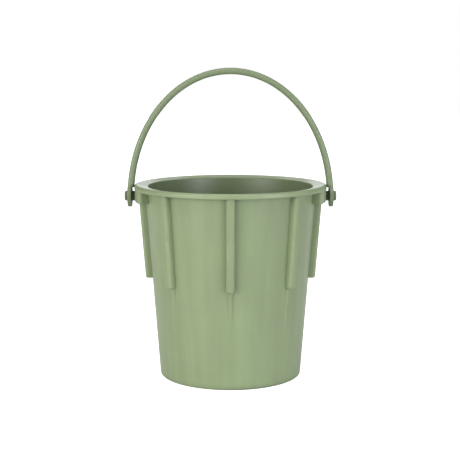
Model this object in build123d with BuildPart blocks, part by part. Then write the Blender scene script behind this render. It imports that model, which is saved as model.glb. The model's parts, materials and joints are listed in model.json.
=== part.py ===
from build123d import *

import os
from math import cos, radians, tan

# Florist bucket: a tapered moulded pail with a wide rim flange that slopes gently inward, eight
# stacking ribs and two ears, and a moulded bail handle that swings on two pegs pressed into the ears.
#
# Frame: millimetres, +Z up, origin on the ground at the centre of the foot ring.
# The handle's pegs lie along X and -Y is the front. At rest the handle stands upright.

# ---------------------------------------------------------------- driving dimensions
height = 281.8  # ground to the crest of the rim
rim_radius = 140.0  # outside of the rim flange
wall_top_radius = 125.2  # outside of the wall, carried up to the crest's height
wall_base_radius = 103.5  # outside of the wall, carried down to the ground
opening_radius = 120.3  # inside of the wall, carried up to the crest's height
inner_base_radius = 100.5  # inside of the wall, carried down to the ground

floor_thickness = 4.0
foot_height = 2.5  # how far the floor stands off the ground
foot_inner_radius = 91.0
foot_edge_radius = 3.0
floor_corner_radius = 8.0
gate_radius = 11.0  # of the shallow recess under the floor where the plastic was injected
gate_depth = 1.0

flange_slope = 9.4  # degrees that the flange's top falls from its crest to the opening
flange_underside = 277.0
crest_radius = 3.4  # rounding of the flange's outer top edge
lip_bottom = 274.5  # of the flange's turned-down outer edge
lip_thickness = 3.0
opening_edge_radius = 1.6
small_edge_radius = 0.8

rib_count = 8
rib_width = 12.0
rib_depth = 10.3  # how far a rib stands off the wall
rib_bottom = 142.5
rib_edge_radius = 4.4  # along its two outer edges
rib_end_radius = 3.0  # around its lower end
wall_bite = 1.5  # how far ribs run into the wall that they stand on

tail_radius = 4.0  # of the round ridge that runs on below a rib
tail_proud = 3.0  # its height where it leaves the rib
tail_bottom = 62.0  # where it sinks into the wall
tail_sunk_length = 20.0  # how far it runs on inside the wall

pivot_height = 264.0
ear_radius = 139.4
ear_bottom = 257.0
ear_half_angle = 20.0
ear_corner_radius = 6.0
ear_edge_radius = 1.5

peg_radius = 7.2
peg_end = 154.5  # x of the peg's outer end
peg_end_radius = 1.8
peg_spigot_radius = 5.0  # the part pressed into the ear
peg_seat = 138.8  # x of the flat seat cut in the ear
peg_seat_radius = 7.6
peg_spigot_end = 126.5
peg_bore_end = 126.0
peg_running_clearance = 0.08  # on the radius, between peg and handle eye

handle_top = 449.3
handle_half_width = 150.3
handle_thickness = 9.3  # of the bar, seen from the front
handle_width = 18.0  # of the bar, front to back
handle_edge_radius = 4.2
handle_drop = 3.0  # the arch's centre lies this far below the pegs
bar_end = 277.0  # where the bar steps in to the thinner eye
eye_radius = 16.0
eye_inner = 143.8  # x of the eye's inner face
eye_thickness = 6.0
eye_edge_radius = 1.2

# ---------------------------------------------------------------- derived dimensions
slope = radians(flange_slope)
corner_height = height + crest_radius * (1 / cos(slope) + tan(slope) - 1)  # of the crest before rounding
throat_radius = opening_radius - wall_bite  # the flange's top is carried in to here, then the hollow cuts it
floor_top = foot_height + floor_thickness
arch_centre = pivot_height - handle_drop
arch_rise = handle_top - arch_centre
tail_angles = [360 * i / rib_count for i in range(rib_count) if i % (rib_count // 2)]  # all but at the ears
ear_reach = rim_radius * tan(radians(ear_half_angle))  # half the ear's opening, out at the rim


def wall_radius(z):
    """Outside radius of the bare wall at height z."""
    return wall_base_radius + (wall_top_radius - wall_base_radius) * z / height


def cavity_radius(z):
    """Inside radius of the wall at height z."""
    return inner_base_radius + (opening_radius - inner_base_radius) * z / height


def flange_top(radius):
    """Height of the flange's sloping top at a radius, as if its crest were not rounded."""
    return corner_height - (rim_radius - radius) * tan(slope)


def write_piece(piece, label):
    """Label a finished piece and write it as its own STEP file."""
    piece.part.label = label
    export_step(piece.part, f"parts/{label}.step")


os.makedirs("parts", exist_ok=True)

# ---------------------------------------------------------------- one stacking rib
# A straight bar that leans with the wall at +X, rounded along its outer edges and around its lower end.
rib_top = flange_underside + small_edge_radius
rib_run = Vector(wall_radius(rib_top) - wall_radius(rib_bottom), 0, rib_top - rib_bottom)
with BuildPart() as rib:
    with BuildSketch(Plane.XY.offset(rib_bottom)):
        with BuildLine():
            FilletPolyline(
                (wall_radius(rib_bottom) - wall_bite, -rib_width / 2),
                (wall_radius(rib_bottom) + rib_depth, -rib_width / 2),
                (wall_radius(rib_bottom) + rib_depth, rib_width / 2),
                (wall_radius(rib_bottom) - wall_bite, rib_width / 2),
                radius=(0, rib_edge_radius, rib_edge_radius, 0),
                close=True,
            )
        make_face()
    extrude(amount=rib_run.length, dir=rib_run)
    end_edges = rib.faces().sort_by(Axis.Z)[0].edges().sort_by(Axis.X)
    fillet(end_edges[1:], rib_end_radius)

# ---------------------------------------------------------------- one rib tail
# A round rod laid almost along the wall at +X. It stands proud below the rib and sinks into the wall.
tail_high = Vector(wall_radius(rib_bottom) + tail_proud - tail_radius, 0, rib_bottom)
tail_low = Vector(wall_radius(tail_bottom) - tail_radius, 0, tail_bottom)
tail_run = tail_high - tail_low
with BuildPart() as tail:
    with BuildSketch(Plane(origin=tail_low, z_dir=tail_run)):
        Circle(tail_radius)
    extrude(amount=tail_run.length + rib_end_radius)
    extrude(tail.faces().sort_by(Axis.Z)[0], amount=tail_sunk_length)

# ---------------------------------------------------------------- one ear
# A block under the flange at +X, flush with the rim, with a blind bore for the peg.
with BuildPart() as ear:
    with BuildSketch(Plane.XY.offset(ear_bottom)):
        Circle(ear_radius)
        with BuildLine():
            Polyline(
                (0, 0),
                (rim_radius, -ear_reach),
                (rim_radius, ear_reach),
                close=True,
            )
        make_face(mode=Mode.INTERSECT)
    extrude(amount=flange_underside + small_edge_radius - ear_bottom)
    fillet(ear.edges().filter_by(Axis.Z).sort_by(Axis.X)[-2:], ear_corner_radius)
    fillet(ear.faces().sort_by(Axis.Z)[0].edges().sort_by(Axis.X)[-1:], ear_edge_radius)

# ---------------------------------------------------------------- bucket body
with BuildPart() as bucket_body:
    # The outside: foot, wall and rim flange as one solid of revolution.
    with BuildSketch(Plane.XZ):
        with BuildLine():
            FilletPolyline(
                (0, foot_height + gate_depth),
                (gate_radius, foot_height + gate_depth),
                (gate_radius, foot_height),
                (foot_inner_radius, foot_height),
                (foot_inner_radius, 0),
                (wall_base_radius, 0),
                (wall_radius(flange_underside), flange_underside),
                (rim_radius - lip_thickness, flange_underside),
                (rim_radius - lip_thickness, lip_bottom),
                (rim_radius, lip_bottom),
                (rim_radius, corner_height),
                (throat_radius, flange_top(throat_radius)),
                (0, flange_top(throat_radius)),
                radius=(
                    0,
                    0,
                    0,
                    small_edge_radius,
                    small_edge_radius,
                    foot_edge_radius,
                    0,
                    0,
                    small_edge_radius,
                    small_edge_radius,
                    crest_radius,
                    0,
                    0,
                ),
                close=True,
            )
        make_face()
    revolve(axis=Axis.Z)
    with PolarLocations(0, rib_count):
        add(rib.part)
    for angle in tail_angles:
        add(tail.part, rotation=(0, 0, angle))
    with PolarLocations(0, 2):
        add(ear.part)
    # The hollow, cut last so that nothing on the outside reaches through the wall.
    with BuildSketch(Plane.XZ):
        with BuildLine():
            FilletPolyline(
                (0, floor_top),
                (cavity_radius(floor_top), floor_top),
                (opening_radius, height),
                (0, height),
                radius=(0, floor_corner_radius, 0, 0),
                close=True,
            )
        make_face()
    revolve(axis=Axis.Z, mode=Mode.SUBTRACT)
    round_edges = bucket_body.edges().filter_by(GeomType.CIRCLE)
    rim_edges = round_edges.filter_by_position(Axis.Z, flange_top(throat_radius), height)
    fillet(rim_edges.sort_by(Axis.Z)[0], opening_edge_radius)
    # The peg bores, each with a flat seat.
    for side in (1, -1):
        with BuildSketch(Plane(origin=(side * peg_seat, 0, pivot_height), z_dir=(side, 0, 0))):
            Circle(peg_seat_radius)
        extrude(amount=rim_radius - peg_seat, mode=Mode.SUBTRACT)
        with BuildSketch(Plane(origin=(side * peg_bore_end, 0, pivot_height), z_dir=(side, 0, 0))):
            Circle(peg_spigot_radius)
        extrude(amount=rim_radius - peg_bore_end, mode=Mode.SUBTRACT)
write_piece(bucket_body, "bucket_body")

# ---------------------------------------------------------------- one handle eye
# A round plate at +X that carries on down from the bar, with a running bore for the peg.
with BuildPart() as eye:
    with BuildSketch(Plane(origin=(eye_inner, 0, pivot_height), z_dir=(1, 0, 0))):
        Circle(eye_radius)
    extrude(amount=eye_thickness)
    fillet(eye.edges(), eye_edge_radius)
    with BuildSketch(Plane(origin=(eye_inner, 0, pivot_height), z_dir=(1, 0, 0))):
        Circle(peg_radius + peg_running_clearance)
    extrude(amount=eye_thickness, mode=Mode.SUBTRACT)

# ---------------------------------------------------------------- bail handle
with BuildPart() as bail_handle:
    # The arch: an elliptical ring with rounded edges, cut off level just above the pegs.
    with BuildSketch(Plane.XZ.offset(-handle_width / 2)):
        with Locations((0, arch_centre)):
            Ellipse(handle_half_width, arch_rise)
            Ellipse(
                handle_half_width - handle_thickness,
                arch_rise - handle_thickness,
                mode=Mode.SUBTRACT,
            )
    extrude(amount=handle_width)
    fillet(bail_handle.edges(), handle_edge_radius)
    split(bisect_by=Plane.XY.offset(bar_end), keep=Keep.TOP)
    with PolarLocations(0, 2):
        add(eye.part)
write_piece(bail_handle, "bail_handle")

# ---------------------------------------------------------------- pivot pegs
# One peg, turned about X from its pressed spigot to its rounded outer end.
with BuildPart() as peg:
    with BuildSketch(Plane.XZ):
        with BuildLine():
            FilletPolyline(
                (peg_spigot_end, pivot_height),
                (peg_spigot_end, pivot_height + peg_spigot_radius),
                (peg_seat, pivot_height + peg_spigot_radius),
                (peg_seat, pivot_height + peg_radius),
                (peg_end, pivot_height + peg_radius),
                (peg_end, pivot_height),
                radius=(0, small_edge_radius, 0, 0, peg_end_radius, 0),
                close=True,
            )
        make_face()
    revolve(axis=Axis((0, 0, pivot_height), (1, 0, 0)))

with BuildPart() as right_pivot_peg:
    add(peg.part)
write_piece(right_pivot_peg, "right_pivot_peg")

with BuildPart() as left_pivot_peg:
    add(peg.part)
    mirror(about=Plane.YZ, mode=Mode.REPLACE)
write_piece(left_pivot_peg, "left_pivot_peg")
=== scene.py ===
import json
import math

import bpy
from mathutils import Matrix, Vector


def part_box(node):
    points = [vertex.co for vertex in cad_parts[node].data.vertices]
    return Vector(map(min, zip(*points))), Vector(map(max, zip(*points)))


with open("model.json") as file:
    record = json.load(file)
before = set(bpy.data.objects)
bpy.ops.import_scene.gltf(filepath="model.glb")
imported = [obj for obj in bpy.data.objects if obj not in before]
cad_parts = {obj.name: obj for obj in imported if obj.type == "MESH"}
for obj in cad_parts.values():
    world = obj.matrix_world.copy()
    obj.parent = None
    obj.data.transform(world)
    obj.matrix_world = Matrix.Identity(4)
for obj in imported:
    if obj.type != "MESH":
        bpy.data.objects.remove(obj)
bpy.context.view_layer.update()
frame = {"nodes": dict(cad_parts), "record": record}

# The florist bucket's looks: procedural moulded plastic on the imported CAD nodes, a white sweep,
# a studio of soft lights painted on the world, and the camera.
# Everything is in metres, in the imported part's own frame: +Z up, -Y is the front.

MM = 0.001
WHITE = (1, 1, 1, 1)
body_low, body_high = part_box("bucket_body")
rim_radius = body_high.x
bucket_height = body_high.z

# ---------------------------------------------------------------- finish of each material slot
# Pigment is the linear colour of the plastic. Streaks is how far the flow lines of the moulding
# change it. Inside shade is how much of the inside of the bucket is darkened, a painted shade.
# Corner shade is how dark the painted shade in closed corners is.
FINISHES = {
    "body_plastic": {
        "pigment": (0.243, 0.308, 0.162),
        "roughness": 0.35,
        "streaks": 0.05,
        "inside_shade": 1.0,
        "corner_shade": 0.4,
    },
    "handle_plastic": {
        "pigment": (0.180, 0.228, 0.122),
        "roughness": 0.40,
        "streaks": 0.0,
        "inside_shade": 0.0,
        "corner_shade": 0.4,
    },
    "peg_plastic": {
        "pigment": (0.165, 0.210, 0.110),
        "roughness": 0.42,
        "streaks": 0.0,
        "inside_shade": 0.0,
        # strong painted shade: the peg lies in the deep shadow between ear and handle eye
        "corner_shade": 0.85,
    },
}
PLASTIC_IOR = 1.49

# ---------------------------------------------------------------- patterns in the plastic
# Each scale is about how many patches or lines of the pattern fit in a metre, along X, Y and Z
# where there are three. Most of a noise texture's values lie between NOISE_LOW and NOISE_HIGH.
NOISE_LOW = 0.3
NOISE_HIGH = 0.7
MOTTLING_SCALE = 16
MOTTLING = 0.035  # how far it changes the tint, up and down
SPECKLE_SCALE = 420
SPECKLE = 0.015
STREAK_SCALE = (70, 70, 1.6)
GLOSS_SCALE = 28
GLOSS_CHANGE = 0.05  # of the roughness, up and down
WAVINESS_SCALE = 22
WAVINESS_DEPTH = 0.25 * MM
ORANGE_PEEL_SCALE = 500
ORANGE_PEEL_DEPTH = 0.006 * MM
SCRATCH_SCALE = (900, 900, 30)
SCRATCH_NOISE = (0.68, 0.74)  # the noise values where a scratch begins and where it is full
SCRATCH_DEPTH = 0.004 * MM
RUB_SCALE = 90
RUB_NOISE = (0.35, 0.7)  # the noise values where rubbing is least and where it is full
LEAST_RUB = 0.15

# ---------------------------------------------------------------- wear, painted highlight and painted shade
# Each pair holds the value where an effect begins and the value where it is complete.
SHADING_RADIUS = 0.6 * MM  # rounding that the shading adds to sharp edges and corners
SHADING_SAMPLES = 6
CORNER_REACH = 12 * MM  # how near another surface has to be to close in a corner
CORNER_SAMPLES = 8
EDGE_TURN = (0.985, 0.90)  # cosine of the angle by which that rounding turns the surface
EXPOSED_SKY = (0.75, 0.95)  # share of open sky over a surface that can be rubbed and given the painted edge highlight
CLOSED_SKY = (0.85, 0.35)  # share of open sky over a surface where the painted corner shade lies
WALL_FACING = (-0.2, -0.9)  # cosine of the angle between a wall's normal and outward
FLOOR_FACING = (0.2, 0.9)  # vertical part of a floor's normal
FLOOR_HEIGHT = (0.2 * bucket_height, 0.1 * bucket_height)  # the inside floor is looked for this low
# Edges open to the sky are lightened, partly as real wear and partly as a painted highlight.
RUBBED_AND_LIT_PIGMENT = 0.75  # share of the pigment that a rubbed edge keeps, lightened as wear and as a painted highlight
RUBBED_AND_LIT_WHITE = 0.18  # what it gains in red, green and blue alike
RUBBED_AND_LIT_OPACITY = 0.7
INSIDE_SHADE_PIGMENT = 0.62  # share of the pigment left under the painted shade on the inside
# how strongly the painted shade in closed corners is laid on
CORNER_SHADE_OPACITY = 0.8
RUBBED_DULLING = 0.15  # added to the roughness, as are the next two
SCRATCHED_DULLING = 0.08
CORNER_DULLING = 0.12

# ---------------------------------------------------------------- studio
# Each light is a soft round patch on the world: compass angle from the camera side (positive is
# towards +X), height above the horizon, both in degrees, half width in degrees, and its colour.
LIGHTS = {
    "left_softbox": (-48, 0, 17, (10.4, 10.3, 10.3)),
    "right_softbox": (47, 0, 14, (10.6, 10.9, 12.2)),
    "overhead": (0, 75, 24, (2.8, 2.8, 2.8)),
    "back_sweep": (180, 6, 12, (2.4, 2.4, 2.5)),
}
DIM_STUDIO = (0.05, 0.05, 0.05)  # what the world gives where no light is
SWEEP_RADIUS = 60 * rim_radius
SWEEP_CORNERS = 96
SWEEP_PATCH_SCALE = 3
SWEEP_GREY = (0.60, 0.62)  # of its patches, from dark to light
SWEEP_ROUGHNESS = 0.9
SWEEP_GLOW = 0.22  # towards the bucket
SWEEP_GLOW_SEEN = 0.95  # towards the camera

# ---------------------------------------------------------------- camera
SENSOR_WIDTH = 36.0  # mm, as is the lens
LENS = 89.4
SIDE_SHIFT = -0.001  # in sensor widths
CAMERA_DISTANCE = 11.857 * rim_radius
CAMERA_HEIGHT = 1.611 * bucket_height
LOOKING_DOWN = 8.25  # degrees


class Tree:
    """Adds nodes to one node tree. Inputs are given as values or as the sockets that feed them."""

    def __init__(self, owner):
        owner.use_nodes = True
        self.tree = owner.node_tree
        self.tree.nodes.clear()

    def add(self, kind, inputs=None, **settings):
        node = self.tree.nodes.new(kind)
        for name, value in settings.items():
            setattr(node, name, value)
        for name, value in (inputs or {}).items():
            self.feed(node.inputs[name], value)
        return node

    def feed(self, socket, value):
        if isinstance(value, bpy.types.NodeSocket):
            self.tree.links.new(value, socket)
        else:
            socket.default_value = value

    def math(self, operation, first, second=0.0, clamp=False):
        node = self.add("ShaderNodeMath", {0: first, 1: second}, operation=operation, use_clamp=clamp)
        return node.outputs[0]

    def remap(self, value, low, high, new_low=0.0, new_high=1.0):
        """Clamped linear change of range."""
        ends = {"Value": value, "From Min": low, "From Max": high, "To Min": new_low, "To Max": new_high}
        return self.add("ShaderNodeMapRange", ends).outputs["Result"]

    def noise(self, place, scale, detail=2.0):
        inputs = {"Vector": place, "Scale": scale, "Detail": detail}
        return self.add("ShaderNodeTexNoise", inputs).outputs["Fac"]

    def patches(self, place, scale, low, high, detail=2.0):
        """Soft patches whose values lie between low and high."""
        return self.remap(self.noise(place, scale, detail), NOISE_LOW, NOISE_HIGH, low, high)

    def stretched(self, place, scale):
        return self.add("ShaderNodeMapping", {"Vector": place, "Scale": scale}).outputs["Vector"]

    def vector(self, operation, first, second=(0, 0, 0), output="Vector"):
        inputs = {0: first, 1: second}
        return self.add("ShaderNodeVectorMath", inputs, operation=operation).outputs[output]

    def height(self, arrow):
        """The Z part of a place or direction."""
        return self.add("ShaderNodeSeparateXYZ", {0: arrow}).outputs["Z"]

    def tint(self, color, factor):
        """Colour times a grey factor."""
        node = self.add("ShaderNodeVectorMath", {0: color, "Scale": factor}, operation="SCALE")
        return node.outputs["Vector"]

    def blend(self, factor, first, second):
        """From the first colour to the second as the factor goes from 0 to 1."""
        node = self.add("ShaderNodeMix", data_type="RGBA")
        for name, value in (("Factor", factor), ("A", first), ("B", second)):
            self.feed([s for s in node.inputs if s.name == name and s.enabled][0], value)
        return [s for s in node.outputs if s.enabled][0]


def facing_axis(tree, place, surface):
    """1 on the inside wall, which faces the bucket's axis, and on the inside floor. Of the outside it
    marks only the inner faces of the lip and the foot ring, which hardly show."""
    normal = surface.outputs["Normal"]
    outward = tree.vector("NORMALIZE", tree.stretched(place, (1, 1, 0)))
    away = tree.vector("DOT_PRODUCT", normal, outward, output="Value")
    wall = tree.remap(away, *WALL_FACING)
    upward = tree.remap(tree.height(normal), *FLOOR_FACING)
    low = tree.remap(tree.height(place), *FLOOR_HEIGHT)
    return tree.math("MAXIMUM", wall, tree.math("MULTIPLY", upward, low))


def plastic_color(tree, place, pigment, streaks):
    """Pigment with mottling, fine speckle and the flow lines of the moulding."""
    mottling = tree.patches(place, MOTTLING_SCALE, 1 - MOTTLING, 1 + MOTTLING, detail=3)
    speckle = tree.patches(place, SPECKLE_SCALE, 1 - SPECKLE, 1 + SPECKLE)
    lines = tree.stretched(place, STREAK_SCALE)
    flow = tree.patches(lines, 1, 1 - streaks, 1 + streaks, detail=3)
    shade = tree.math("MULTIPLY", tree.math("MULTIPLY", mottling, speckle), flow)
    return tree.tint(pigment, shade)


def plastic_relief(tree, place, rounded, scratches):
    """Mould waviness, then orange peel, then scratches, on the rounded normal."""
    normal = rounded
    for height, depth in (
        (tree.noise(place, WAVINESS_SCALE), WAVINESS_DEPTH),
        (tree.noise(place, ORANGE_PEEL_SCALE), ORANGE_PEEL_DEPTH),
        (tree.math("SUBTRACT", 1.0, scratches), SCRATCH_DEPTH),
    ):
        bump = {"Height": height, "Distance": depth, "Strength": 1.0, "Normal": normal}
        normal = tree.add("ShaderNodeBump", bump).outputs["Normal"]
    return normal


def moulded_plastic(name, pigment, roughness, streaks, inside_shade, corner_shade):
    """Injection-moulded polypropylene: pigment mottling and flow streaks, a faint orange peel and
    waviness left by the mould, rubbed edges that carry a painted highlight, fine handling scratches,
    painted shade in closed corners and on the inside. The values are those of one slot in FINISHES."""
    material = bpy.data.materials.new(name)
    tree = Tree(material)
    place = tree.add("ShaderNodeTexCoord").outputs["Object"]
    surface = tree.add("ShaderNodeNewGeometry")

    # Where edges and corners are: the rounded normal turns away from the true one at both,
    # and only the corners are closed in.
    bevel = tree.add("ShaderNodeBevel", {"Radius": SHADING_RADIUS}, samples=SHADING_SAMPLES)
    rounded = bevel.outputs["Normal"]
    turn = tree.vector("DOT_PRODUCT", rounded, surface.outputs["Normal"], output="Value")
    sky = tree.add("ShaderNodeAmbientOcclusion", {"Distance": CORNER_REACH}, samples=CORNER_SAMPLES)
    open_sky = sky.outputs["AO"]
    edge = tree.remap(turn, *EDGE_TURN)
    exposed = tree.remap(open_sky, *EXPOSED_SKY)
    rub = tree.remap(tree.noise(place, RUB_SCALE, detail=3), *RUB_NOISE, LEAST_RUB, 1.0)
    wear_and_highlight = tree.math("MULTIPLY", tree.math("MULTIPLY", edge, exposed), rub)
    corner = tree.remap(open_sky, *CLOSED_SKY)
    inside = facing_axis(tree, place, surface)

    # Colour.
    color = plastic_color(tree, place, pigment, streaks)
    rubbed_and_lit = tuple(RUBBED_AND_LIT_PIGMENT * c + RUBBED_AND_LIT_WHITE for c in pigment)
    inside_shaded = tuple(INSIDE_SHADE_PIGMENT * c for c in pigment)
    corner_shaded = tuple((1 - corner_shade) * c for c in pigment)
    # Exposed edges lightened, partly real wear and partly a painted highlight.
    color = tree.blend(tree.math("MULTIPLY", wear_and_highlight, RUBBED_AND_LIT_OPACITY), color, (*rubbed_and_lit, 1))
    # Painted shade on the inside of the bucket, where little light reaches.
    color = tree.blend(tree.math("MULTIPLY", inside, inside_shade), color, (*inside_shaded, 1))
    # Painted shade in closed corners, such as at the rib roots and between the ears and the handle.
    color = tree.blend(tree.math("MULTIPLY", corner, CORNER_SHADE_OPACITY), color, (*corner_shaded, 1))

    # Roughness: patchy gloss, duller where rubbed, scratched or in closed corners.
    gloss = tree.patches(place, GLOSS_SCALE, roughness - GLOSS_CHANGE, roughness + GLOSS_CHANGE, detail=4)
    scratch_noise = tree.noise(tree.stretched(place, SCRATCH_SCALE), 1, detail=1)
    scratches = tree.remap(scratch_noise, *SCRATCH_NOISE)
    worn = tree.math("MULTIPLY", wear_and_highlight, RUBBED_DULLING)
    scratched = tree.math("MULTIPLY", scratches, SCRATCHED_DULLING)
    dull = tree.math("ADD", worn, scratched)
    dull = tree.math("ADD", dull, tree.math("MULTIPLY", corner, CORNER_DULLING))

    inputs = {
        "Base Color": color,
        "Roughness": tree.math("ADD", gloss, dull, clamp=True),
        "Normal": plastic_relief(tree, place, rounded, scratches),
        "IOR": PLASTIC_IOR,
    }
    shader = tree.add("ShaderNodeBsdfPrincipled", inputs)
    tree.add("ShaderNodeOutputMaterial", {"Surface": shader.outputs["BSDF"]})
    return material


def paint_nodes():
    """Give every CAD node the finish of its material slot in the record."""
    finishes = {slot: moulded_plastic(slot, **values) for slot, values in FINISHES.items()}
    for subpart in frame["record"]["subparts"]:
        mesh = frame["nodes"][subpart["node"]].data
        mesh.materials.clear()
        mesh.materials.append(finishes[subpart["material_slot"]])


def sweep_material():
    """White paper that glows, more towards the camera than towards the bucket, so it looks plain white."""
    material = bpy.data.materials.new("white_sweep")
    tree = Tree(material)
    place = tree.add("ShaderNodeTexCoord").outputs["Object"]
    grey = tree.patches(place, SWEEP_PATCH_SCALE, *SWEEP_GREY)
    to_camera = tree.add("ShaderNodeLightPath").outputs["Is Camera Ray"]
    inputs = {
        "Base Color": tree.tint((1, 1, 1), grey),
        "Roughness": SWEEP_ROUGHNESS,
        "Specular IOR Level": 0.0,
        "Emission Color": WHITE,
        "Emission Strength": tree.remap(to_camera, 0.0, 1.0, SWEEP_GLOW, SWEEP_GLOW_SEEN),
    }
    shader = tree.add("ShaderNodeBsdfPrincipled", inputs)
    tree.add("ShaderNodeOutputMaterial", {"Surface": shader.outputs["BSDF"]})
    return material


def white_sweep():
    """A round white floor, much wider than the view."""
    turns = (2 * math.pi * i / SWEEP_CORNERS for i in range(SWEEP_CORNERS))
    points = [(SWEEP_RADIUS * math.cos(turn), SWEEP_RADIUS * math.sin(turn), body_low.z) for turn in turns]
    mesh = bpy.data.meshes.new("floor")
    mesh.from_pydata(points, [], [tuple(range(SWEEP_CORNERS))])
    mesh.materials.append(sweep_material())
    floor = bpy.data.objects.new("floor", mesh)
    bpy.context.scene.collection.objects.link(floor)


def direction(compass, elevation):
    """Unit vector towards a light: compass 0 is the camera side and positive turns towards +X."""
    a = math.radians(compass)
    e = math.radians(elevation)
    return Vector((math.sin(a) * math.cos(e), -math.cos(a) * math.cos(e), math.sin(e)))


def studio_world():
    """White to the camera. To the object, a dim studio with soft round lights in it."""
    world = bpy.data.worlds.new("studio")
    bpy.context.scene.world = world
    tree = Tree(world)
    looking = tree.add("ShaderNodeTexCoord").outputs["Generated"]
    glow = DIM_STUDIO
    for compass, elevation, half_width, color in LIGHTS.values():
        facing = tree.vector("DOT_PRODUCT", looking, direction(compass, elevation), output="Value")
        # A bell curve of the angle that has fallen to half at half_width.
        sharpness = math.log(2) / (1 - math.cos(math.radians(half_width)))
        fall = tree.math("MULTIPLY", tree.math("SUBTRACT", facing, 1.0), sharpness)
        glow = tree.vector("ADD", tree.tint(color, tree.math("EXPONENT", fall)), glow)
    to_camera = tree.add("ShaderNodeLightPath").outputs["Is Camera Ray"]
    seen = tree.blend(to_camera, glow, WHITE)
    background = tree.add("ShaderNodeBackground", {"Color": seen})
    tree.add("ShaderNodeOutputWorld", {"Surface": background.outputs["Background"]})


def studio_camera():
    """A long lens in front of the bucket and a little above it."""
    data = bpy.data.cameras.new("camera")
    data.sensor_width = SENSOR_WIDTH
    data.lens = LENS
    data.shift_x = SIDE_SHIFT
    camera = bpy.data.objects.new("camera", data)
    bpy.context.scene.collection.objects.link(camera)
    camera.location = (0, -CAMERA_DISTANCE, CAMERA_HEIGHT)
    camera.rotation_euler = (math.radians(90 - LOOKING_DOWN), 0, 0)
    bpy.context.scene.camera = camera


paint_nodes()
white_sweep()
studio_world()
studio_camera()
bpy.context.scene.view_settings.view_transform = "Standard"
